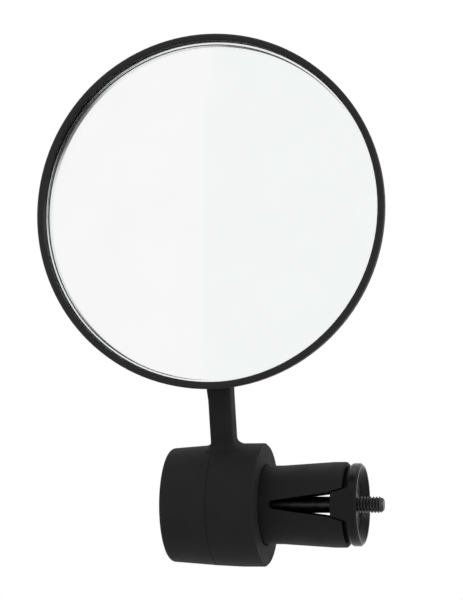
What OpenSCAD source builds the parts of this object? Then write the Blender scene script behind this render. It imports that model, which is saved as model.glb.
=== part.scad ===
// Round mirror for the end of a motorcycle handlebar. A slotted plug grips inside the bar,
// a barrel-shaped hub swivels on it, and a short cranked stem carries a ball joint with
// the convex mirror. X runs along the bar, with +X into the bar, and Z is up. The origin is
// the point on the bar's axis where the hub's face meets the bar's end.

/* [Mirror head] */
// Outer diameter of the mirror housing
head_d = 80; // [76:1:86]
// Width of the rim's front face round the glass
rim_face = 1.5; // [1.2:0.1:2]
// Depth of the glass's edge below the rim
rim_lip = 1.5; // [1:0.1:1.8]
// Thickness of the mirror glass
glass_t = 2; // [1.6:0.1:2.2]
// Radius of the convex mirror surface
glass_curve = 600; // [450:10:900]
// Gap between the glass's edge and the rim
glass_gap = 0.2; // [0.1:0.05:0.3]
// Thickness of the adhesive foam ring
pad_t = 0.8; // [0.5:0.1:1]
// Width of the adhesive foam ring
pad_w = 3.5; // [2.5:0.1:4]
// Depth of the housing behind its rim, at its middle
head_depth = 10; // [9.6:0.1:11]
// Straight part of the housing's side, behind the rim
side_h = 1.7; // [1.4:0.1:2.2]
// Radius of the housing's rounded back edge
corner_r = 5; // [4.6:0.1:5.6]
// Wall thickness of the housing
shell_wall = 1.8; // [1.4:0.1:2.2]
// Number of ribs inside the housing
shell_ribs = 8; // [4:1:12]

/* [Place of the head] */
// Height of the mirror's centre above the bar's axis
head_h = 65.6; // [65:0.1:68]
// Distance of the rim's front plane before the bar's axis
head_front = 17.4; // [16:0.1:18.5]
// Sideways offset of the mirror's centre from the stem
head_side = 0.6; // [0:0.1:1]
// Distance of the stem from the bar's end
stem_x = 9; // [8.4:0.1:10.4]

/* [Ball joint] */
// Diameter of the ball
ball_d = 7; // [6.6:0.1:7.2]
// Distance of the ball's centre behind the rim's front plane
ball_back = 10.5; // [10.3:0.1:11]
// Height of the ball's centre above the housing's lowest edge
ball_rise = 7.9; // [7.6:0.1:8.6]
// Thickness of the split liner round the ball
liner_t = 0.7; // [0.5:0.05:0.8]
// Gap on each side of the liner
ball_gap = 0.15; // [0.1:0.01:0.18]
// Wall of the socket round the liner
socket_wall = 1.7; // [1.4:0.1:2]
// Half angle of the socket's mouth
mouth_angle = 53; // [51:1:55]
// Diameter of the neck below the ball
neck_d = 4.2; // [3.8:0.1:4.3]
// Distance between the two clamp screws
clamp_pitch = 17.6; // [17:0.1:19]
// Radius of the ears round the clamp screws
ear_r = 2.9; // [2.7:0.1:3.2]
// Thickness of the clamp's ears
ear_t = 2.4; // [2:0.1:2.8]
// Shank diameter of the clamp screws
tap_d = 2.4; // [2:0.1:2.6]
// Length of the clamp screws under their heads
tap_len = 6.5; // [5.5:0.1:7]

/* [Stem] */
// Width of the stem along the bar
stem_w = 5.4; // [5:0.1:6]
// Depth of the stem from front to back
stem_t = 6.4; // [5.6:0.1:6.6]
// Distance below the ball's centre at which the leaning stem turns upright
kink_drop = 7.5; // [7:0.1:8]
// Radius of the blend between the stem and the hub
stem_fillet = 1.6; // [1.2:0.1:2.2]
// Extra reach of that blend towards the hub's outer end
fillet_tail = 0.6; // [0:0.1:1.2]
// Width of the shoulder beside the stem's top, towards the hub's outer end
shoulder_w = 0.5; // [0:0.1:0.8]

/* [Hub] */
// Diameter of the hub at the bar's end
hub_d = 28; // [27.4:0.1:30]
// Diameter of the hub's outer end
hub_end_d = 26; // [25.4:0.1:27]
// Length of the hub
hub_len = 22; // [21.4:0.1:24]
// Wall thickness of the hub's hollow outer half
hub_wall = 2.3; // [2:0.1:2.6]
// Thickness of the web that the screw clamps
web_t = 3.5; // [2.8:0.1:4]
// Radius of the pocket for the screw's head
pocket_r = 5.3; // [4.9:0.1:5.6]
// Wall of the boss round that pocket
boss_wall = 1.7; // [1.3:0.1:2]
// Number of ribs between the boss and the wall
hub_ribs = 6; // [4:1:8]
// Thickness of those ribs
rib_t = 1.4; // [1:0.1:1.8]
// Thickness of the end cap
cap_t = 1.5; // [1.1:0.1:1.8]
// Radius of the rounded edge at the hub's outer end
hub_edge = 0.9; // [0.5:0.1:1]
// Width of the fine witness groove round the hub's middle
groove_w = 0.2; // [0.15:0.05:0.4]

/* [Expander plug] */
// Diameter of the plug's straight stretch
plug_d = 17.8; // [17.5:0.1:18.2]
// Diameter of the plug's flared end
plug_end_d = 19.3; // [19.1:0.1:19.8]
// Length of the plug outside the hub
plug_len = 18.9; // [18.4:0.1:20]
// Length of the straight stretch
straight_len = 4; // [2:0.1:6]
// Length of the cylindrical land at the flared end
land_len = 2.8; // [2.4:0.1:3.2]
// Radius of the plug's bore
plug_bore_r = 6.2; // [5.6:0.1:6.5]
// Diameter of the journal inside the hub
journal_d = 17.2; // [16.6:0.1:17.3]
// Length of the journal
journal_len = 7; // [6:0.1:7.4]
// Radial running gap of the journal
journal_gap = 0.06; // [0.03:0.01:0.09]
// Thickness of the friction washer
friction_t = 1; // [0.6:0.1:1.4]
// Width of each slot at its root
slot_w = 2; // [1.6:0.1:2.4]
// Distance of the slot's root from the bar's end
slot_root = 2.3; // [1.8:0.1:3]
// Width of each slot where its mouth starts
slot_wide = 5.5; // [5.2:0.1:6]
// Width of each slot at the plug's end
slot_mouth = 7.4; // [6.8:0.1:8]
// Length of the slot's mouth
mouth_len = 3.2; // [2.6:0.1:3.6]

/* [Cone nut] */
// Half angle of the cone
cone_angle = 30; // [28:1:32]
// Diameter of the cone nut's flange
flange_d = 18.7; // [18.5:0.1:18.9]
// Thickness of the flange
flange_t = 1.9; // [1.6:0.1:2.2]
// Gap between the plug's end and the full flange
flange_lead = 1.5; // [1.4:0.1:1.8]
// Length of the cone inside the plug
cone_in = 2.5; // [2.2:0.1:2.8]
// Gap between the cone and its seat
seat_gap = 0.06; // [0.03:0.01:0.1]
// Gap beside the keys that slide in the slots
key_gap = 0.3; // [0.2:0.05:0.5]
// Depth of the recess in the end face
recess_t = 1.6; // [1.2:0.1:1.7]
// Wall round that recess
recess_wall = 0.9; // [0.8:0.1:1.3]
// Half angle of the sloping side of that recess
recess_angle = 37; // [30:1:42]

/* [Screw] */
// Diameter of the expander screw over its thread
screw_d = 3.7; // [3.6:0.1:3.9]
// Length of the screw under its head
screw_len = 40; // [39:0.5:42]
// Diameter of the socket head
screw_head_d = 7; // [6.6:0.1:7.2]
// Height of the socket head
screw_head_t = 4; // [3.4:0.1:4]
// Width across the flats of the hex socket
hex_key = 3; // [2.5:0.1:3.4]
// Diameter of the plain washer
washer_d = 9; // [8:0.1:9.4]
// Thickness of the plain washer
washer_t = 0.7; // [0.5:0.1:0.9]
// Thickness of the spring washer
spring_t = 0.8; // [0.6:0.1:1]
// Width across the flats of the hex nut
nut_af = 7; // [6.8:0.1:7.2]
// Thickness of the hex nut
nut_t = 3.2; // [2.8:0.1:3.4]

/* [Hidden] */
$fn = 96;
round_fn = 144;
screw_fn = 48;
arc_steps = 16;
edge_step = 15;
bend_step = 0.25;
black = [0.17, 0.17, 0.18];
rubber = [0.1, 0.1, 0.1];
nylon = [0.8, 0.79, 0.74];
steel = [0.62, 0.63, 0.65];
edge = 0.4;
past = 1;

// Mirror head
head_r = head_d / 2;
seat_r = head_r - rim_face;
glass_r = seat_r - glass_gap;
glass_ground = 0.35;
rim_round = 0.35;
pad_margin = 0.5;
bond_gap = 0.02;
pad_out_r = seat_r - pad_margin;
pad_in_r = pad_out_r - pad_w;
shelf_margin = 0.4;
shelf_in_r = pad_in_r - shelf_margin;
corner_mid = head_r - corner_r;
back_rise = head_depth - side_h;
dome_r = (corner_mid * corner_mid + back_rise * back_rise - corner_r * corner_r)
    / (2 * (back_rise - corner_r));
dome_mid = head_depth - dome_r;
dome_start = atan2(dome_r - back_rise, corner_mid);
shell_rib_t = 1.2;
shell_rib_h = 1.3;
shell_rib_r = 17.6;
shell_rib_gap = 0.1;

// Ball joint
ball_r = ball_d / 2;
ball_z = head_h - head_r + ball_rise;
ball_y = ball_back - head_front;
liner_in = ball_r + ball_gap;
liner_out = liner_in + liner_t;
liner_slit = 1;
liner_mouth = 42;
cavity_r = liner_out + ball_gap;
socket_r = cavity_r + socket_wall;
neck_r = neck_d / 2;
neck_swing = 2.7;
neck_taper = 1.6;
mouth_front = ball_back - neck_r - neck_swing;
knuckle_gap = 0.3;
knuckle_front = rim_lip + glass_t + pad_t + knuckle_gap;
ear_web_ratio = 0.85;
ear_web = ear_web_ratio * ear_r;
tap_r = tap_d / 2;
tap_head_ratio = 1.9;
tap_head_r = tap_head_ratio * tap_r;
tap_head_rise = 1.3;
tap_head_t = tap_head_rise * tap_r;
tap_fit = 0.05;
tap_clearance = 0.3;
tap_end_gap = 0.4;
cross_w = 0.5;
cross_depth = 0.8;

// Stem
kink_h = ball_z - kink_drop;
stem_lean = atan2(-ball_y, kink_h);
kink_reach = norm([ball_y, kink_h]);
kink_blend = 2;
foot_sink = 1.6;
ring_points = 32;
square_power = 4.5;
round_power = 2;

// Hub
hub_r = hub_d / 2;
hub_end_r = hub_end_d / 2;
hub_mid_x = -hub_len / 2;
hub_drop = 0.25;
hub_mid_r = hub_r - hub_drop;
groove_depth = 0.08;
journal_r = journal_d / 2;
socket_x = -journal_len - friction_t;
web_x = socket_x - web_t;
cavity_step = 1;
cavity_x = web_x - cavity_step;
cap_sink = 0.3;
cap_x = cap_sink - hub_len;
ledge_x = cap_x + cap_t;
ledge_w = 0.7;
cap_gap = 0.06;
cap_r = hub_outer(ledge_x) - hub_wall + ledge_w;
cap_plug_len = 1.8;
cap_plug_wall = 1.2;
boss_r = pocket_r + boss_wall;
screw_r = screw_d / 2;
screw_hole_gap = 0.3;
screw_hole_r = screw_r + screw_hole_gap;
bore_chamfer = 0.7;
function hub_outer(x) = hub_end_r + (hub_mid_r - hub_end_r) * (x + hub_len) / (hub_len + hub_mid_x);
function hub_surface(x) = x > hub_mid_x / 2 ? hub_r
    : x > hub_mid_x ? hub_r - hub_drop * (2 * x / hub_mid_x - 1)
    : hub_outer(x);

// Expander plug
plug_r = plug_d / 2;
plug_end_r = plug_end_d / 2;
plug_floor = 4;
slot_r = slot_w / 2;
slot_start = slot_root + slot_r;
mouth_x = plug_len - mouth_len;
function slot_half(x) = x < mouth_x
    ? slot_r + (slot_wide / 2 - slot_r) * (x - slot_start) / (mouth_x - slot_start)
    : slot_wide / 2 + (slot_mouth - slot_wide) / 2 * (x - mouth_x) / mouth_len;

// Cone nut
flange_r = flange_d / 2;
flange_x = plug_len + flange_lead;
cone_x = plug_len - cone_in;
cone_end = flange_x + flange_t;
seat_shift = seat_gap / cos(cone_angle);
seat_x = flange_x - (flange_r + seat_shift - plug_bore_r) / tan(cone_angle);
key_proud = 0.3;
key_r = plug_r + key_proud;
recess_x = cone_end - recess_t;
recess_r = flange_r - recess_wall;
recess_slope = tan(recess_angle);
nut_gap = 0.1;
nut_x = recess_x - nut_t - nut_gap;
function cone_radius(x) = flange_r - (flange_x - x) * tan(cone_angle);
function hex_r(flats) = flats / 2 / cos(30);

// Screw
head_x = web_x - washer_t - spring_t;
screw_tip = head_x + screw_len;
screw_point = 0.5;
socket_depth = 2.2;
spring_r = 3.45;
spring_gap = 0.15;
spring_slant = 35;
thread_gap = 0.05;

// Turns a shape drawn round the Z axis so that it lies along the bar
module along_bar() {
    rotate([0, 90, 0]) children();
}

// Revolves points, each a radius and a place along the bar, round the bar's axis
module bar_turned(points) {
    along_bar() rotate_extrude() polygon(points);
}

// Places a shape at the mirror's centre. Its Z is the depth behind the rim's front plane
module at_head() {
    translate([-stem_x - head_side, -head_front, head_h]) rotate([-90, 0, 0]) children();
}

// Places a shape at the ball's height. Its Z is the depth behind the rim's front plane
module at_joint() {
    translate([-stem_x, -head_front, ball_z]) rotate([-90, 0, 0]) children();
}

// Depths of the glass's two faces at a radius from the mirror's centre
function sag(r, curve) = curve - sqrt(curve * curve - r * r);
function front_depth(r) = rim_lip - sag(glass_r, glass_curve) + sag(r, glass_curve);
function back_depth(r) = front_depth(r) + glass_t;
function back_arc(from, to, lift) = [for (i = [0:arc_steps])
    let (r = from + (to - from) * i / arc_steps)
    [r, back_depth(r) + lift]];

module mirror_glass() {
    flat_r = glass_r - glass_ground;
    front = [for (i = [0:arc_steps])
        let (r = flat_r * i / arc_steps)
        [r, front_depth(r)]];
    color([0.93, 0.95, 0.96])
        at_head()
            rotate_extrude($fn = round_fn)
                polygon(concat(front, [[glass_r, front_depth(glass_r) + glass_ground]],
                    back_arc(glass_r, 0, 0)));
}

module glass_pad() {
    color(rubber)
        at_head()
            rotate_extrude($fn = round_fn)
                polygon(concat(back_arc(pad_in_r, pad_out_r, bond_gap),
                    back_arc(pad_out_r, pad_in_r, pad_t - bond_gap)));
}

// Outline of the bowl's rounded back edge, drawn in by a margin
function corner_arc(margin) = [for (i = [0:arc_steps])
    let (a = dome_start * i / arc_steps)
    [corner_mid + (corner_r - margin) * cos(a), side_h + (corner_r - margin) * sin(a)]];

// Outline of the bowl's shallow dome from a radius to its middle, drawn in by a margin
function dome_arc(from_r, margin) =
    let (r = dome_r - margin, start = acos(from_r / r))
    [for (i = [0:arc_steps])
        let (a = start + (90 - start) * i / arc_steps)
        [r * cos(a), dome_mid + r * sin(a)]];

// Two ears and a round middle, as seen from behind the head
module ear_outline(mid_r) {
    circle(mid_r);
    square([clamp_pitch, 2 * ear_web], center = true);
    for (side = [-1, 1])
        translate([side * clamp_pitch / 2, 0]) circle(ear_r);
}

// Round space for the liner, and the mouth through which the neck swings
module ball_space(front) {
    translate([0, 0, ball_back]) sphere(cavity_r);
    intersection() {
        translate([0, 0, ball_back])
            rotate([-90, 0, 0])
                cylinder(h = 3 * socket_r, r1 = 0, r2 = 3 * socket_r * tan(mouth_angle));
        translate([-3 * socket_r, 0, front]) cube(6 * socket_r);
    }
}

module tap_holes(from, to, r) {
    for (side = [-1, 1])
        translate([side * clamp_pitch / 2, 0, from]) cylinder(h = to - from, r = r);
}

module bowl() {
    difference() {
        rotate_extrude($fn = round_fn)
            polygon(concat([[0, 0], [head_r - rim_round, 0], [head_r, rim_round]],
                corner_arc(0), dome_arc(corner_mid, 0)));
        rotate_extrude($fn = round_fn)
            polygon(concat([[0, -past], [seat_r + rim_round, -past], [seat_r + rim_round, 0],
                [seat_r, rim_round]], back_arc(seat_r, shelf_in_r, pad_t), dome_arc(shelf_in_r, shell_wall)));
    }
}

// Low ribs that stiffen the dome from inside: spokes and a ring
module bowl_ribs() {
    outer = dome_arc(shelf_in_r + past, shell_wall - edge);
    inner = dome_arc(shelf_in_r + past, shell_wall + shell_rib_h);
    profile = concat(outer, [for (i = [arc_steps:-1:0]) inner[i]]);
    front = back_depth(pad_in_r) + pad_t + shell_rib_gap;
    intersection() {
        union() {
            for (i = [0:shell_ribs - 1])
                rotate((i + 0.5) * 360 / shell_ribs)
                    rotate([90, 0, 0])
                        linear_extrude(shell_rib_t, center = true) polygon(profile);
            intersection() {
                rotate_extrude($fn = round_fn) polygon(profile);
                cylinder(h = 3 * head_depth, r = shell_rib_r + shell_rib_t, center = true);
            }
        }
        difference() {
            translate([0, 0, front]) cylinder(h = head_depth, r = shelf_in_r + past / 2);
            translate([0, 0, -past]) cylinder(h = head_depth + 2 * past, r = shell_rib_r);
        }
    }
}

module mirror_shell() {
    knuckle_h = ball_back - knuckle_front;
    color(black)
        difference() {
            union() {
                at_head() {
                    bowl();
                    bowl_ribs();
                }
                at_joint()
                    translate([0, 0, knuckle_front])
                        linear_extrude(knuckle_h) ear_outline(socket_r);
            }
            at_joint() {
                ball_space(mouth_front);
                tap_holes(ball_back + ear_t - tap_len - tap_end_gap, ball_back + past, tap_r + tap_fit);
            }
        }
}

module ball_clamp() {
    color(black)
        at_joint()
            difference() {
                union() {
                    translate([0, 0, ball_back]) linear_extrude(ear_t) ear_outline(socket_r);
                    translate([0, 0, ball_back]) sphere(socket_r);
                }
                translate([0, 0, ball_back - 2 * socket_r]) cylinder(h = 2 * socket_r, r = 2 * clamp_pitch);
                ball_space(ball_back - past);
                tap_holes(ball_back - past, ball_back + ear_t + past, tap_r + tap_clearance);
                tap_holes(ball_back + ear_t, ball_back + 3 * ear_t, tap_head_r + tap_clearance);
            }
}

module clamp_screws() {
    top = ball_back + ear_t;
    point = 1.2;
    color(steel)
        at_joint()
            for (side = [-1, 1])
                translate([side * clamp_pitch / 2, 0, top])
                    difference() {
                        rotate_extrude($fn = screw_fn)
                            polygon([[0, -tap_len], [tap_r - point / 2, point - tap_len],
                                [tap_r, 2 * point - tap_len], [tap_r, 0], [tap_head_r, 0],
                                [tap_head_r, tap_head_t / 2], [tap_head_r / 2, tap_head_t],
                                [0, tap_head_t]]);
                        for (turn = [0, 90])
                            rotate(turn)
                                translate([-tap_r, -cross_w / 2, tap_head_t - cross_depth])
                                    cube([2 * tap_r, cross_w, 2 * cross_depth]);
                    }
}

module ball_seat() {
    color(nylon)
        translate([-stem_x, ball_y, ball_z])
            difference() {
                sphere(liner_out);
                sphere(liner_in);
                rotate([180, 0, 0])
                    cylinder(h = 2 * liner_out, r1 = 0, r2 = 2 * liner_out * tan(liner_mouth));
                translate([-liner_slit / 2, 0, -2 * liner_out])
                    cube([liner_slit, 2 * liner_out, 2 * liner_out + ball_r / 2]);
            }
}

// Stations of the stem: y, z, lean, reach to the left, right and front, and the power that
// makes the section square (high) or round (2). The foot's stations follow the hub's surface
// at a height above it, which is their last value
function foot_ring(lift, flare) = [0, 0, stem_lean,
    stem_w / 2 + flare * (1 + fillet_tail / stem_fillet),
    stem_w / 2 + flare,
    stem_t / 2 + flare,
    square_power,
    lift];
function kink_ring(t) =
    let (from = kink_reach - kink_blend,
        start = [-from * sin(stem_lean), from * cos(stem_lean)],
        end = [ball_y, kink_h + kink_blend],
        middle = [ball_y, kink_h],
        at = (1 - t) * (1 - t) * start + 2 * t * (1 - t) * middle + t * t * end)
    [at[0], at[1], stem_lean * (1 - t), stem_w / 2 + shoulder_w * t, stem_w / 2, stem_t / 2,
        square_power];
function neck_ring(t) =
    let (left = stem_w / 2 + shoulder_w,
        right = stem_w / 2,
        depth = stem_t / 2)
    [ball_y, kink_h + kink_blend + neck_taper * t, 0,
        left + (neck_r - left) * t,
        right + (neck_r - right) * t,
        depth + (neck_r - depth) * t,
        square_power + (round_power - square_power) * t];
stem_rings = concat(
    [foot_ring(-foot_sink, stem_fillet)],
    [for (a = [edge_step:edge_step:90]) foot_ring(stem_fillet * (1 - cos(a)), stem_fillet * (1 - sin(a)))],
    [for (t = [0:bend_step:1]) kink_ring(t)],
    [for (t = [bend_step:bend_step:1]) neck_ring(t)],
    [[ball_y, ball_z - ball_r / 2, 0, neck_r, neck_r, neck_r, round_power]]
);
function bent(value, power) = sign(value) * pow(abs(value), 2 / power);
function ring_point(ring, a) =
    let (across = cos(a) < 0 ? ring[3] : ring[4],
        x = across * bent(cos(a), ring[6]) - stem_x,
        out = ring[5] * bent(sin(a), ring[6]),
        rise = is_undef(ring[7]) ? 0 : sqrt(pow(hub_surface(x) + ring[7], 2) - out * out))
    [x,
        ring[0] + out * cos(ring[2]) - rise * sin(ring[2]),
        ring[1] + out * sin(ring[2]) + rise * cos(ring[2])];

// Skin through the stations: round rings of points joined by triangles
module stem() {
    last = len(stem_rings) - 1;
    points = [for (ring = stem_rings, j = [0:ring_points - 1]) ring_point(ring, 360 * (j + 0.5) / ring_points)];
    sides = [for (i = [0:last - 1], j = [0:ring_points - 1])
        let (k = (j + 1) % ring_points, low = i * ring_points, high = low + ring_points)
        each [[low + j, high + j, high + k], [low + j, high + k, low + k]]];
    ends = [[for (j = [0:ring_points - 1]) j],
        [for (j = [ring_points - 1:-1:0]) last * ring_points + j]];
    polyhedron(points, concat(sides, ends));
}

module hub() {
    bore_r = journal_r + journal_gap;
    rounded = [for (a = [0:edge_step:90])
        [hub_end_r - hub_edge * (1 - sin(a)), hub_edge * (1 - cos(a)) - hub_len]];
    bar_turned(concat(rounded, [
        [hub_mid_r, hub_mid_x - groove_w / 2],
        [hub_mid_r - groove_depth, hub_mid_x - groove_w / 2],
        [hub_mid_r - groove_depth, hub_mid_x + groove_w / 2],
        [hub_mid_r, hub_mid_x + groove_w / 2],
        [hub_r, hub_mid_x / 2],
        [hub_r, -edge],
        [hub_r - edge, 0],
        [bore_r + bore_chamfer, 0],
        [bore_r, -bore_chamfer],
        [bore_r, socket_x],
        [screw_hole_r, socket_x],
        [screw_hole_r, web_x],
        [pocket_r, web_x],
        [pocket_r, ledge_x],
        [boss_r, ledge_x],
        [boss_r, cavity_x],
        [hub_outer(cavity_x) - hub_wall, cavity_x],
        [cap_r - ledge_w, ledge_x],
        [cap_r + cap_gap, ledge_x],
        [cap_r + cap_gap, -hub_len]
    ]));
    for (i = [0:hub_ribs - 1])
        rotate([i * 360 / hub_ribs, 0, 0])
            translate([ledge_x, -rib_t / 2, boss_r - edge])
                cube([cavity_x - ledge_x + edge, rib_t, cap_r - boss_r + edge]);
}

module arm() {
    color(black)
        union() {
            hub();
            stem();
            translate([-stem_x, ball_y, ball_z]) sphere(ball_r);
        }
}

module end_cap() {
    plug_r_out = pocket_r - cap_gap;
    plug_end_x = ledge_x + cap_plug_len;
    color(black)
        bar_turned([
            [0, cap_x],
            [cap_r - edge, cap_x],
            [cap_r, cap_x + edge],
            [cap_r, ledge_x],
            [plug_r_out, ledge_x],
            [plug_r_out, plug_end_x - edge],
            [plug_r_out - edge, plug_end_x],
            [plug_r_out - cap_plug_wall, plug_end_x],
            [plug_r_out - cap_plug_wall, ledge_x],
            [0, ledge_x]
        ]);
}

module ring(from, to, r_in, r_out) {
    bar_turned([[r_in, from], [r_out, from], [r_out, to], [r_in, to]]);
}

module plain_washer() {
    color(steel) ring(web_x - washer_t, web_x, screw_hole_r, washer_d / 2);
}

module spring_washer() {
    split_w = 0.6;
    color(steel)
        difference() {
            ring(head_x, head_x + spring_t, screw_r + spring_gap, spring_r);
            translate([head_x + spring_t / 2, 0, spring_r])
                rotate([0, 0, spring_slant])
                    cube([4 * spring_t, split_w, 2 * spring_r], center = true);
        }
}

module expander_screw() {
    top_x = head_x - screw_head_t;
    color(steel)
        difference() {
            bar_turned([
                [0, top_x],
                [screw_head_d / 2 - edge, top_x],
                [screw_head_d / 2, top_x + edge],
                [screw_head_d / 2, head_x],
                [screw_r, head_x],
                [screw_r, screw_tip - screw_point],
                [screw_r - screw_point, screw_tip],
                [0, screw_tip]
            ]);
            translate([top_x - past, 0, 0])
                along_bar() cylinder(h = socket_depth + past, r = hex_r(hex_key), $fn = 6);
        }
}

module friction_washer() {
    color(rubber) ring(socket_x, socket_x + friction_t, screw_hole_r, journal_r - edge);
}

// Both slots in one cut: a round root, straight sides that part, and a wider mouth
module slot_cut() {
    rotate([90, 0, 0])
        linear_extrude(3 * plug_end_r, center = true) {
            translate([slot_start, 0]) circle(slot_r);
            polygon(concat(
                [for (x = [slot_start, mouth_x, plug_len + past]) [x, slot_half(x)]],
                [for (x = [plug_len + past, mouth_x, slot_start]) [x, -slot_half(x)]]));
        }
}

module expander_sleeve() {
    floor_x = plug_floor - journal_len;
    end_edge = 0.3;
    color(black)
        difference() {
            bar_turned([
                [journal_r - edge, -journal_len],
                [journal_r, edge - journal_len],
                [journal_r, 0],
                [plug_r, 0],
                [plug_r, straight_len],
                [plug_end_r, plug_len - end_edge - land_len],
                [plug_end_r, plug_len - end_edge],
                [plug_end_r - end_edge, plug_len],
                [cone_radius(plug_len) + seat_shift, plug_len],
                [plug_bore_r, seat_x],
                [plug_bore_r, floor_x],
                [screw_hole_r, floor_x],
                [screw_hole_r, -journal_len]
            ]);
            slot_cut();
        }
}

module cone_nut() {
    chamfer = 0.5;
    key_start = slot_half(cone_x) - key_gap;
    key_end = slot_half(flange_x) - key_gap;
    color(black)
        difference() {
            union() {
                bar_turned([
                    [0, cone_x],
                    [cone_radius(cone_x), cone_x],
                    [flange_r, flange_x],
                    [flange_r, cone_end - chamfer],
                    [flange_r - chamfer, cone_end],
                    [0, cone_end]
                ]);
                intersection() {
                    rotate([90, 0, 0])
                        linear_extrude(3 * key_r, center = true)
                            polygon([[cone_x, key_start], [flange_x, key_end],
                                [flange_x, -key_end], [cone_x, -key_start]]);
                    along_bar() cylinder(h = 2 * plug_len, r = key_r);
                }
            }
            translate([recess_x, 0, 0])
                along_bar()
                    cylinder(h = recess_t + past,
                        r1 = recess_r - recess_t * recess_slope,
                        r2 = recess_r + past * recess_slope);
            translate([cone_x - past, 0, 0])
                along_bar() cylinder(h = 2 * cone_in + past + flange_lead, r = screw_hole_r);
            translate([nut_x, 0, 0])
                along_bar() cylinder(h = nut_t + 2 * nut_gap + past, r = hex_r(nut_af) + nut_gap, $fn = 6);
        }
}

module hex_nut() {
    color(steel)
        translate([nut_x, 0, 0])
            along_bar()
                difference() {
                    cylinder(h = nut_t, r = hex_r(nut_af), $fn = 6);
                    translate([0, 0, -past]) cylinder(h = nut_t + 2 * past, r = screw_r + thread_gap);
                }
}

mirror_glass();
glass_pad();
mirror_shell();
ball_clamp();
clamp_screws();
ball_seat();
arm();
end_cap();
plain_washer();
spring_washer();
expander_screw();
friction_washer();
expander_sleeve();
cone_nut();
hex_nut();
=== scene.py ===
import math

import bpy
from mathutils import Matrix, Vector


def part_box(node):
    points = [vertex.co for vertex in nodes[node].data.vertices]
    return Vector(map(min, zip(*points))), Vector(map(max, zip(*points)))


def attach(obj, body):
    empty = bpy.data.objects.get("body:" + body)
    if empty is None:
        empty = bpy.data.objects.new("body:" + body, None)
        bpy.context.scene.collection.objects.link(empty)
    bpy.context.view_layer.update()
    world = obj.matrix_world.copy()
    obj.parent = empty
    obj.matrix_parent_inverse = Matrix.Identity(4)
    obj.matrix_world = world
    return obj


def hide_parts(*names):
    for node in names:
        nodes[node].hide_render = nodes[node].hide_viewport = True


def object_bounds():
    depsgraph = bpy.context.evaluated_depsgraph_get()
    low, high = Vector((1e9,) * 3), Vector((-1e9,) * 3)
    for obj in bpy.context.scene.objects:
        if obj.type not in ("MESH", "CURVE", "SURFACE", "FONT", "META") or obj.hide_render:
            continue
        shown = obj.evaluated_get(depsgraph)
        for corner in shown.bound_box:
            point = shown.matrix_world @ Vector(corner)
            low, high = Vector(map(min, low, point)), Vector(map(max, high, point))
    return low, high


MM = 0.001

# The photograph's camera: how far it stands from the stem's foot and on which side of it, and
# how it is turned. Its angles are in degrees
CAMERA_AZIMUTH = 13.64
CAMERA_DISTANCE = 550 * MM
CAMERA_HEIGHT = -2.0 * MM
CAMERA_PITCH = 5.08
CAMERA_YAW = -0.08
STEM_X = -9 * MM
SENSOR_HEIGHT = 36.0
LENS = 144.2

# The expander screw: a socket head screw with a rolled M4 thread. ROOT_SHARE is half the width
# of the thread's root and FLANK_SHARE the width of a flank, as parts of the pitch. PINHOLE is
# the radius of the ring that stands for a point at the middle of a face
THREAD_PITCH = 0.7 * MM
THREAD_STARTS = 15.5 * MM
THREAD_DEPTH = 0.32 * MM
THREAD_STEPS = 10
ROOT_SHARE = 0.08
FLANK_SHARE = 0.34
SCREW_RADIUS = 1.85 * MM
SCREW_SIDES = 72
SCREW_HEAD_HEIGHT = 4.0 * MM
SOCKET_FLATS = 3.0 * MM
SOCKET_DEPTH = 2.2 * MM
TIP_CHAMFER = 0.7 * MM
TIP_SLOPE = 0.8
EDGE = 0.4 * MM
PINHOLE = 0.01 * MM
SHARP_ANGLE = math.radians(35)

# The mirror's curve, and the silvering: its distance inside the glass's back, the clear margin
# round it and its shift off centre
GLASS_CURVE = 600 * MM
SILVER_INSET = 0.02 * MM
SILVER_MARGIN = 0.43 * MM
SILVER_SHIFT = 0.18 * MM
SILVER_RINGS = 24
ROUND_SIDES = 144

# The glass's ground bevel, which is off centre. Its normal leans out by BEVEL_LEAN for 1 forwards.
# It ends before the glass's back. One stretch of it is painted near black as painted shade, in
# full within the inner angle of its middle and not at all beyond the outer one. Angles are counted
# from +X towards +Z
GROUND_WIDEST = 0.66 * MM
GROUND_NARROWEST = 0.06 * MM
GROUND_WIDEST_AT = math.radians(135)
GROUND_FADE = 0.04 * MM
BEVEL_LEAN = 1.3
BACK_SKIN = 0.04 * MM
SHADED_STRETCH_AT = math.radians(147)
SHADED_STRETCH_IN = math.radians(10)
SHADED_STRETCH_OUT = math.radians(24)
CLEAR_EDGE = (0.98, 0.985, 0.98)
# Painted shade: the near-black colour of the shaded stretch of the bevel
PAINTED_SHADE_EDGE = (0.03, 0.03, 0.03)
GLASS_IOR = 1.52

# The studio: even light, a white floor below all that moves, and walls that reflections show a
# little cooler on the +X side. WALL_SPLIT turns the plane between the sides, and WALL_BLEND is
# half the width of the change
WORLD_LIGHT = 0.45
WALL_SPLIT = math.radians(-14.4)
WALL_BLEND = 0.012
COOL_WALL = (0.955, 0.985, 0.972)
FLOOR_CLEARANCE = 15 * MM
FLOOR_RADIUS = 700 * MM
FLOOR_PAINT = 0.82
FLOOR_GLOW = 0.45

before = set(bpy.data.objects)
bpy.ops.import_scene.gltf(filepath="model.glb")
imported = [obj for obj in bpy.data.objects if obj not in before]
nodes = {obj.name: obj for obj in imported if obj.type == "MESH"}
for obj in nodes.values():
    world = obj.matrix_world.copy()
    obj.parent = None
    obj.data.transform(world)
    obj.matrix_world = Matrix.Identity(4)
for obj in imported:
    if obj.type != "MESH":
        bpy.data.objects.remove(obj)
cad_low, cad_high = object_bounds()


def link_mesh(name, points, faces, smooth=True):
    """Adds a mesh object to the scene."""
    mesh = bpy.data.meshes.new(name)
    mesh.from_pydata(points, [], faces)
    mesh.validate()
    mesh.update()
    if smooth:
        mesh.shade_smooth()
    piece = bpy.data.objects.new(name, mesh)
    bpy.context.scene.collection.objects.link(piece)
    return piece


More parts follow.
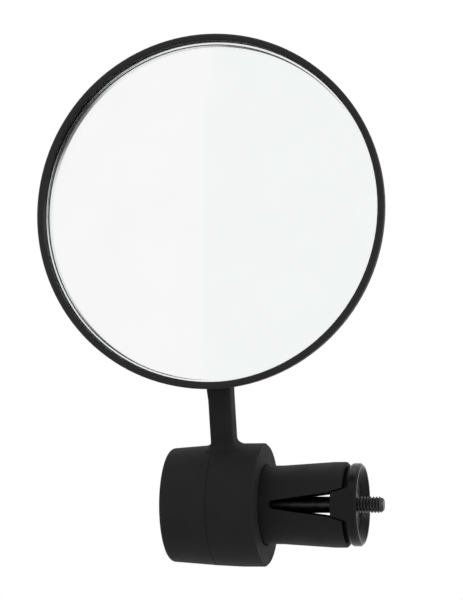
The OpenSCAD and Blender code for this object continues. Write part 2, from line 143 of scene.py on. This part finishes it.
class Surface:
    """A Principled material whose detail is placed in object space, so that sizes are real."""

    def __init__(self, name):
        self.material = bpy.data.materials.new(name)
        self.material.use_nodes = True
        self.tree = self.material.node_tree
        self.tree.nodes.clear()
        output = self.node("ShaderNodeOutputMaterial")
        self.shader = self.node("ShaderNodeBsdfPrincipled")
        self.place = self.node("ShaderNodeTexCoord").outputs["Object"]
        self.link(self.shader.outputs["BSDF"], output.inputs["Surface"])

    def node(self, kind, **settings):
        made = self.tree.nodes.new(kind)
        for key, value in settings.items():
            setattr(made, key, value)
        return made

    def link(self, start, end):
        self.tree.links.new(start, end)

    def constants(self, **values):
        """Sets the shader's own sockets. Underscores in a name stand for spaces."""
        for key, value in values.items():
            self.shader.inputs[key.replace("_", " ")].default_value = value

    def grain(self, size, detail=3.0, stretch=None):
        """Noise whose features are about size across, drawn out along an axis by stretch."""
        noise = self.node("ShaderNodeTexNoise")
        noise.inputs["Scale"].default_value = 1 / size
        noise.inputs["Detail"].default_value = detail
        where = self.place
        if stretch:
            mapping = self.node("ShaderNodeMapping")
            mapping.inputs["Scale"].default_value = stretch
            self.link(where, mapping.inputs["Vector"])
            where = mapping.outputs["Vector"]
        self.link(where, noise.inputs["Vector"])
        return noise.outputs["Fac"]

    def between(self, value, low, high, start=0.3, end=0.7):
        """Maps value from start..end to low..high. Most of a noise's values are in 0.3..0.7."""
        ranged = self.node("ShaderNodeMapRange")
        self.link(value, ranged.inputs["Value"])
        limits = {"From Min": start, "From Max": end, "To Min": low, "To Max": high}
        for key, number in limits.items():
            ranged.inputs[key].default_value = number
        return ranged.outputs["Result"]

    def product(self, first, second):
        """One value times another."""
        times = self.node("ShaderNodeMath", operation="MULTIPLY")
        self.link(first, times.inputs[0])
        self.link(second, times.inputs[1])
        return times.outputs["Value"]

    def vector(self, operation, first, second=None, result="Vector"):
        """A vector calculation on a link, with a fixed vector as its second term."""
        made = self.node("ShaderNodeVectorMath", operation=operation)
        self.link(first, made.inputs[0])
        if second is not None:
            made.inputs[1].default_value = second
        return made.outputs[result]

    def mixed(self, value, first, second):
        """A colour between two, each given as a colour or as another mix."""
        mix = self.node("ShaderNodeMix", data_type="RGBA")
        self.link(value, mix.inputs["Factor"])
        for key, colour in (("A", first), ("B", second)):
            if isinstance(colour, tuple):
                mix.inputs[key].default_value = (*colour, 1)
            else:
                self.link(colour, mix.inputs[key])
        return mix.outputs["Result"]

    def tint(self, value, first, second):
        """Base colour between two colours."""
        self.link(self.mixed(value, first, second), self.shader.inputs["Base Color"])

    def roughness(self, value, low, high):
        """Roughness between low and high."""
        self.link(self.between(value, low, high), self.shader.inputs["Roughness"])

    def relief(self, height, depth):
        """Bumps, as deep as depth."""
        bump = self.node("ShaderNodeBump")
        bump.inputs["Distance"].default_value = depth
        self.link(height, bump.inputs["Height"])
        self.link(bump.outputs["Normal"], self.shader.inputs["Normal"])


def moulded_black(name, shade, low, high, shine=0.14):
    """Black moulded nylon of a shade, with a fine spark-eroded texture. Its roughness goes from
    low to high."""
    look = Surface(name)
    cloudy = look.grain(5 * MM, detail=5)
    fine = look.grain(0.22 * MM)
    look.tint(look.between(cloudy, 0, 1), (shade, shade, 1.03 * shade),
              (1.4 * shade, 1.38 * shade, 1.36 * shade))
    look.roughness(cloudy, low, high)
    look.relief(fine, 0.035 * MM)
    look.constants(Specular_IOR_Level=shine)
    return look.material


def worn_steel(name, dark, light, low, high):
    """Steel with a faint cloudy finish, and turning marks that lie across the bar's axis."""
    look = Surface(name)
    cloudy = look.grain(1.6 * MM, detail=5)
    marks = look.grain(0.12 * MM, stretch=(1.0, 0.15, 0.15))
    look.tint(look.between(cloudy, 0, 1), dark, light)
    look.roughness(cloudy, low, high)
    look.relief(marks, 0.012 * MM)
    look.constants(Metallic=1.0)
    return look.material


def natural_nylon():
    """Ivory nylon that light enters a little."""
    look = Surface("natural_nylon")
    cloudy = look.grain(2 * MM, detail=4)
    fine = look.grain(0.3 * MM)
    look.tint(look.between(cloudy, 0, 1), (0.66, 0.63, 0.54), (0.74, 0.72, 0.64))
    look.roughness(fine, 0.38, 0.5)
    look.relief(fine, 0.01 * MM)
    look.constants(Subsurface_Weight=0.25, Subsurface_Scale=0.6 * MM)
    return look.material


def foam_tape():
    """Black foam with open cells."""
    look = Surface("foam_tape")
    cells = look.grain(0.35 * MM, detail=2)
    look.tint(look.between(cells, 0, 1), (0.008, 0.008, 0.008), (0.022, 0.022, 0.022))
    look.roughness(cells, 0.75, 0.95)
    look.relief(cells, 0.08 * MM)
    return look.material


def fibre_rubber():
    """Black rubber with paler, flattened flecks."""
    look = Surface("fibre_rubber")
    flecks = look.grain(0.5 * MM, detail=4, stretch=(1.0, 3.0, 1.0))
    look.tint(look.between(flecks, 0, 1, 0.5, 0.75), (0.012, 0.012, 0.012), (0.05, 0.045, 0.04))
    look.roughness(flecks, 0.6, 0.85)
    look.relief(flecks, 0.03 * MM)
    return look.material


def bevel_normal(look, flat, ground):
    """The surface's own normal, which leans outwards over the ground bevel instead. Inside the
    glass it is reversed, as the surface's own is there."""
    outward = look.vector("NORMALIZE", flat)
    forward = look.vector("ADD", outward, (0, -1 / BEVEL_LEAN, 0))
    turned = look.node("ShaderNodeVectorTransform", vector_type="NORMAL",
                       convert_from="OBJECT", convert_to="WORLD")
    look.link(forward, turned.inputs["Vector"])
    surface = look.node("ShaderNodeNewGeometry")
    facing = look.node("ShaderNodeVectorMath", operation="SCALE")
    look.link(turned.outputs["Vector"], facing.inputs[0])
    look.link(look.between(surface.outputs["Backfacing"], 1, -1, 0, 1), facing.inputs["Scale"])
    bevel = look.node("ShaderNodeMix", data_type="VECTOR")
    look.link(ground, bevel.inputs["Factor"])
    look.link(surface.outputs["Normal"], bevel.inputs["A"])
    look.link(facing.outputs["Vector"], bevel.inputs["B"])
    return look.vector("NORMALIZE", bevel.outputs["Result"])


def clear_glass(low, high):
    """Clear glass between two corners, with a ground bevel that is off centre and has one stretch
    painted near black as painted shade."""
    look = Surface("clear_glass")
    radius = (high.x - low.x) / 2
    centred = look.vector("SUBTRACT", look.place, (low + high) / 2)
    flat = look.vector("MULTIPLY", centred, (1, 0, 1))

    # Where it is ground: outside a circle off the glass's centre, except next to its back
    shift = (GROUND_NARROWEST - GROUND_WIDEST) / 2
    off_centre = (shift * math.cos(GROUND_WIDEST_AT), 0, shift * math.sin(GROUND_WIDEST_AT))
    inner = radius - (GROUND_WIDEST + GROUND_NARROWEST) / 2
    outer = look.between(look.vector("DISTANCE", flat, off_centre, "Value"),
                         0, 1, inner, inner + GROUND_FADE)
    depth = look.node("ShaderNodeSeparateXYZ")
    look.link(look.place, depth.inputs["Vector"])
    before_back = look.between(depth.outputs["Y"], 1, 0,
                               high.y - 2 * BACK_SKIN, high.y - BACK_SKIN)
    ground = look.product(outer, before_back)

    # Painted shade: one stretch of the ground bevel is coloured near black
    direction = (math.cos(SHADED_STRETCH_AT), 0, math.sin(SHADED_STRETCH_AT))
    painted_shade = look.between(look.vector("DOT_PRODUCT", flat, direction, "Value"), 0, 1,
                             radius * math.cos(SHADED_STRETCH_OUT), radius * math.cos(SHADED_STRETCH_IN))
    edge = look.mixed(painted_shade, CLEAR_EDGE, PAINTED_SHADE_EDGE)
    look.tint(ground, (1.0, 1.0, 1.0), edge)
    look.link(look.product(ground, look.between(look.grain(0.2 * MM), 0.1, 0.2)),
              look.shader.inputs["Roughness"])
    look.link(bevel_normal(look, flat, ground), look.shader.inputs["Normal"])
    look.constants(IOR=GLASS_IOR, Transmission_Weight=1.0)
    return look.material


def silver():
    """Silvered back of the mirror, with a very faint unevenness."""
    look = Surface("silver")
    cloudy = look.grain(14 * MM, detail=2)
    look.tint(look.between(cloudy, 0, 1), (0.925, 0.925, 0.925), (0.94, 0.94, 0.94))
    look.roughness(cloudy, 0.012, 0.02)
    look.constants(Metallic=1.0)
    return look.material


def paint(names, material):
    """Gives CAD nodes a material, in every slot that they have or else in a new one."""
    for name in names:
        slots = nodes[name].material_slots
        if not slots:
            nodes[name].data.materials.append(material)
        for one in slots:
            one.material = material


def hex_radius(flats, angle):
    """Radius at an angle, for a hexagon that measures flats between its opposite sides."""
    step = math.pi / 3
    return flats / 2 / math.cos((angle + step / 2) % step - step / 2)


def thread_radius(x, angle, radius):
    """Radius of a right-handed thread with flat roots and crests."""
    turn = (x / THREAD_PITCH - angle / (2 * math.pi)) % 1
    flank = min(1.0, max(0.0, (abs(turn - 0.5) - ROOT_SHARE) / FLANK_SHARE))
    return radius - THREAD_DEPTH * (1 - flank)


def screw_rings():
    """Rings from the bottom of the hex socket round the head and along the shank to its tip."""
    low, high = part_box("expander_screw")
    head_x = low.x + SCREW_HEAD_HEIGHT
    head_r = (high.y - low.y) / 2
    tip_x = high.x

    def round_ring(x, radius):
        return [(x, radius)] * SCREW_SIDES

    def hex_ring(x):
        step = 2 * math.pi / SCREW_SIDES
        return [(x, hex_radius(SOCKET_FLATS, i * step)) for i in range(SCREW_SIDES)]

    rings = [
        round_ring(low.x + SOCKET_DEPTH + EDGE, PINHOLE),
        hex_ring(low.x + SOCKET_DEPTH),
        hex_ring(low.x + EDGE / 4),
        round_ring(low.x, SOCKET_FLATS / 2 + EDGE),
        round_ring(low.x, head_r - EDGE),
        round_ring(low.x + EDGE / 3, head_r - EDGE / 3),
        round_ring(low.x + EDGE, head_r),
        round_ring(head_x - EDGE / 4, head_r),
        round_ring(head_x, head_r - EDGE / 4),
        round_ring(head_x, SCREW_RADIUS + EDGE / 2),
        round_ring(head_x + EDGE / 2, SCREW_RADIUS),
        round_ring(THREAD_STARTS - THREAD_PITCH, SCREW_RADIUS),
    ]
    steps = round((tip_x - THREAD_STARTS) / THREAD_PITCH * THREAD_STEPS)
    for i in range(steps + 1):
        x = THREAD_STARTS + (tip_x - THREAD_STARTS) * i / steps
        runout = min(1.0, (x - THREAD_STARTS) / THREAD_PITCH)
        chamfer = SCREW_RADIUS - max(0.0, x - tip_x + TIP_CHAMFER) * TIP_SLOPE
        ring = []
        for side in range(SCREW_SIDES):
            cut = thread_radius(x, 2 * math.pi * side / SCREW_SIDES, SCREW_RADIUS)
            ring.append((x, min(chamfer, SCREW_RADIUS - (SCREW_RADIUS - cut) * runout)))
        rings.append(ring)
    rings.append(round_ring(tip_x, PINHOLE))
    return rings


def expander_screw(material):
    """The screw's mesh, skinned over its rings, in place of the plain stand-in."""
    rings = screw_rings()
    points = []
    for ring in rings:
        for side, (x, radius) in enumerate(ring):
            angle = 2 * math.pi * side / SCREW_SIDES
            points.append((x, radius * math.cos(angle), radius * math.sin(angle)))
    last = (len(rings) - 1) * SCREW_SIDES
    faces = []
    for i in range(len(rings) - 1):
        for j in range(SCREW_SIDES):
            k = (j + 1) % SCREW_SIDES
            faces.append((i * SCREW_SIDES + j, i * SCREW_SIDES + k,
                          (i + 1) * SCREW_SIDES + k, (i + 1) * SCREW_SIDES + j))
    faces.append(tuple(reversed(range(SCREW_SIDES))))
    faces.append(tuple(last + j for j in range(SCREW_SIDES)))
    screw = link_mesh("threaded_screw", points, faces)
    screw.data.set_sharp_from_angle(angle=SHARP_ANGLE)
    screw.data.materials.append(material)
    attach(screw, "screw")
    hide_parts("expander_screw")


def silvering(material):
    """A thin reflecting layer just inside the back of the glass, a little off its centre."""
    low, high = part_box("mirror_glass")
    centre = (low + high) / 2
    glass_r = (high.x - low.x) / 2
    radius = glass_r - SILVER_MARGIN
    back_y = high.y - glass_r ** 2 / (2 * GLASS_CURVE)
    shift_x = -SILVER_SHIFT * math.cos(GROUND_WIDEST_AT)
    shift_z = -SILVER_SHIFT * math.sin(GROUND_WIDEST_AT)

    def point(r, angle):
        x = shift_x + r * math.cos(angle)
        z = shift_z + r * math.sin(angle)
        sag = GLASS_CURVE - math.sqrt(GLASS_CURVE ** 2 - x * x - z * z)
        return centre.x + x, back_y + sag - SILVER_INSET, centre.z + z

    points = [point(0, 0)]
    for ring in range(1, SILVER_RINGS + 1):
        for side in range(ROUND_SIDES):
            points.append(point(radius * ring / SILVER_RINGS, 2 * math.pi * side / ROUND_SIDES))
    faces = [(0, 1 + (side + 1) % ROUND_SIDES, 1 + side) for side in range(ROUND_SIDES)]
    for ring in range(SILVER_RINGS - 1):
        inner = 1 + ring * ROUND_SIDES
        outer = inner + ROUND_SIDES
        for side in range(ROUND_SIDES):
            after = (side + 1) % ROUND_SIDES
            faces.append((inner + side, inner + after, outer + after, outer + side))
    layer = link_mesh("silvering", points, faces)
    layer.data.materials.append(material)
    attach(layer, "head")


def floor_material():
    """White floor, which shows as white to the camera and in the mirror and keeps a soft
    shadow."""
    material = bpy.data.materials.new("white_floor")
    material.use_nodes = True
    tree = material.node_tree
    shader = tree.nodes["Principled BSDF"]
    shader.inputs["Base Color"].default_value = (FLOOR_PAINT, FLOOR_PAINT, FLOOR_PAINT, 1)
    shader.inputs["Roughness"].default_value = 0.9
    shader.inputs["Specular IOR Level"].default_value = 0.1
    output = tree.nodes["Material Output"]
    glow = tree.nodes.new("ShaderNodeEmission")
    glow.inputs["Strength"].default_value = FLOOR_GLOW
    add = tree.nodes.new("ShaderNodeAddShader")
    tree.links.new(shader.outputs["BSDF"], add.inputs[0])
    tree.links.new(glow.outputs["Emission"], add.inputs[1])
    mix = tree.nodes.new("ShaderNodeMixShader")
    tree.links.new(seen_directly(tree), mix.inputs["Fac"])
    tree.links.new(shader.outputs["BSDF"], mix.inputs[1])
    tree.links.new(add.outputs["Shader"], mix.inputs[2])
    tree.links.new(mix.outputs["Shader"], output.inputs["Surface"])
    return material


def seen_directly(tree):
    """1 for rays from the camera, in a reflection or through glass, and 0 for light itself."""
    path = tree.nodes.new("ShaderNodeLightPath")
    value = path.outputs["Is Camera Ray"]
    for kind in ("Is Glossy Ray", "Is Transmission Ray"):
        larger = tree.nodes.new("ShaderNodeMath")
        larger.operation = "MAXIMUM"
        tree.links.new(value, larger.inputs[0])
        tree.links.new(path.outputs[kind], larger.inputs[1])
        value = larger.outputs["Value"]
    return value


def studio_world():
    """Even light from all round, and a white background. Reflections show it a little cooler on
    the +X side."""
    world = bpy.data.worlds.new("studio")
    bpy.context.scene.world = world
    world.use_nodes = True
    tree = world.node_tree
    tree.nodes.clear()
    output = tree.nodes.new("ShaderNodeOutputWorld")
    light = tree.nodes.new("ShaderNodeBackground")
    light.inputs["Color"].default_value = (1, 1, 1, 1)
    light.inputs["Strength"].default_value = WORLD_LIGHT
    shown = tree.nodes.new("ShaderNodeBackground")
    direction = tree.nodes.new("ShaderNodeTexCoord")
    split = tree.nodes.new("ShaderNodeVectorMath")
    split.operation = "DOT_PRODUCT"
    split.inputs[1].default_value = (math.cos(WALL_SPLIT), math.sin(WALL_SPLIT), 0)
    tree.links.new(direction.outputs["Generated"], split.inputs[0])
    side = tree.nodes.new("ShaderNodeMapRange")
    side.inputs["From Min"].default_value = -WALL_BLEND
    side.inputs["From Max"].default_value = WALL_BLEND
    tree.links.new(split.outputs["Value"], side.inputs["Value"])
    path = tree.nodes.new("ShaderNodeLightPath")
    cool = tree.nodes.new("ShaderNodeMath")
    cool.operation = "MULTIPLY"
    tree.links.new(side.outputs["Result"], cool.inputs[0])
    tree.links.new(path.outputs["Is Glossy Ray"], cool.inputs[1])
    walls = tree.nodes.new("ShaderNodeMix")
    walls.data_type = "RGBA"
    walls.inputs["A"].default_value = (1, 1, 1, 1)
    walls.inputs["B"].default_value = (*COOL_WALL, 1)
    tree.links.new(cool.outputs["Value"], walls.inputs["Factor"])
    tree.links.new(walls.outputs["Result"], shown.inputs["Color"])
    mix = tree.nodes.new("ShaderNodeMixShader")
    tree.links.new(seen_directly(tree), mix.inputs["Fac"])
    tree.links.new(light.outputs["Background"], mix.inputs[1])
    tree.links.new(shown.outputs["Background"], mix.inputs[2])
    tree.links.new(mix.outputs["Shader"], output.inputs["Surface"])


def softbox(name, place, aim, size, power):
    """A square area light, in metres and watts, turned towards a point."""
    data = bpy.data.lights.new(name, "AREA")
    data.shape = "SQUARE"
    data.size = size
    data.energy = power
    lamp = bpy.data.objects.new(name, data)
    lamp.location = place
    lamp.rotation_euler = (Vector(aim) - Vector(place)).to_track_quat("-Z", "Y").to_euler()
    bpy.context.scene.collection.objects.link(lamp)


def studio_floor(height):
    """A round, flat floor at a height."""
    points = [(0, 0, height)]
    for side in range(ROUND_SIDES):
        angle = 2 * math.pi * side / ROUND_SIDES
        points.append((FLOOR_RADIUS * math.cos(angle), FLOOR_RADIUS * math.sin(angle), height))
    faces = [(0, 1 + side, 1 + (side + 1) % ROUND_SIDES) for side in range(ROUND_SIDES)]
    floor = link_mesh("floor", points, faces, smooth=False)
    floor.data.materials.append(floor_material())


def studio_camera(stem_x):
    """The photograph's camera, at its distance from the stem's foot."""
    azimuth = math.radians(CAMERA_AZIMUTH)
    heading = math.radians(CAMERA_AZIMUTH + CAMERA_YAW)
    pitch = math.radians(CAMERA_PITCH)
    data = bpy.data.cameras.new("camera")
    data.sensor_fit = "VERTICAL"
    data.sensor_height = SENSOR_HEIGHT
    data.lens = LENS
    data.clip_start = 10 * MM
    camera = bpy.data.objects.new("camera", data)
    camera.location = (stem_x + CAMERA_DISTANCE * math.sin(azimuth),
                       -CAMERA_DISTANCE * math.cos(azimuth), CAMERA_HEIGHT)
    ahead = Vector((-math.sin(heading) * math.cos(pitch),
                    math.cos(heading) * math.cos(pitch), math.sin(pitch)))
    camera.rotation_euler = ahead.to_track_quat("-Z", "Y").to_euler()
    bpy.context.scene.collection.objects.link(camera)
    bpy.context.scene.camera = camera


# Painted light and shade: these blacks are one moulded nylon. The arm's and the housing's shades
# are raised and the cone nut's lowered to stand in for how much light falls on each part
arm_black_painted_light = moulded_black("moulded_black", shade=0.0150, low=0.64, high=0.76, shine=0.11)
plug_black = moulded_black("plug_black", shade=0.0080, low=0.58, high=0.70)
housing_black_painted_light = moulded_black("housing_black_painted_light", shade=0.0180, low=0.50, high=0.62)
cone_black_painted_shade = moulded_black("cone_black_painted_shade", shade=0.0046, low=0.20, high=0.27, shine=0.13)
zinc = worn_steel("zinc_steel", dark=(0.46, 0.47, 0.5), light=(0.62, 0.62, 0.64),
                  low=0.28, high=0.42)
dark_steel = worn_steel("blackened_steel", dark=(0.035, 0.035, 0.038),
                        light=(0.075, 0.073, 0.072), low=0.34, high=0.5)
paint(["arm", "end_cap"], arm_black_painted_light)
paint(["expander_sleeve"], plug_black)
paint(["mirror_shell", "ball_clamp"], housing_black_painted_light)
paint(["cone_nut"], cone_black_painted_shade)
paint(["clamp_screws", "plain_washer", "spring_washer"], zinc)
paint(["hex_nut"], dark_steel)
paint(["ball_seat"], natural_nylon())
paint(["glass_pad"], foam_tape())
paint(["friction_washer"], fibre_rubber())
paint(["mirror_glass"], clear_glass(*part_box("mirror_glass")))
expander_screw(dark_steel)
silvering(silver())

# The floor lies clear of the circle in which the head swings round the bar
studio_world()
studio_floor(-math.hypot(cad_high.z, cad_low.y) - FLOOR_CLEARANCE)
softbox("right_light", place=(0.75, -0.42, 0.30), aim=(0, 0, 0.02), size=0.35, power=1.5)
softbox("left_light", place=(-0.55, -0.55, 0.68), aim=(0, 0, 0.03), size=0.5, power=1.6)
softbox("top_light", place=(-0.05, 0.25, 0.85), aim=(0, 0, 0.03), size=0.5, power=0.8)
studio_camera(STEM_X)
bpy.context.scene.view_settings.view_transform = "Standard"
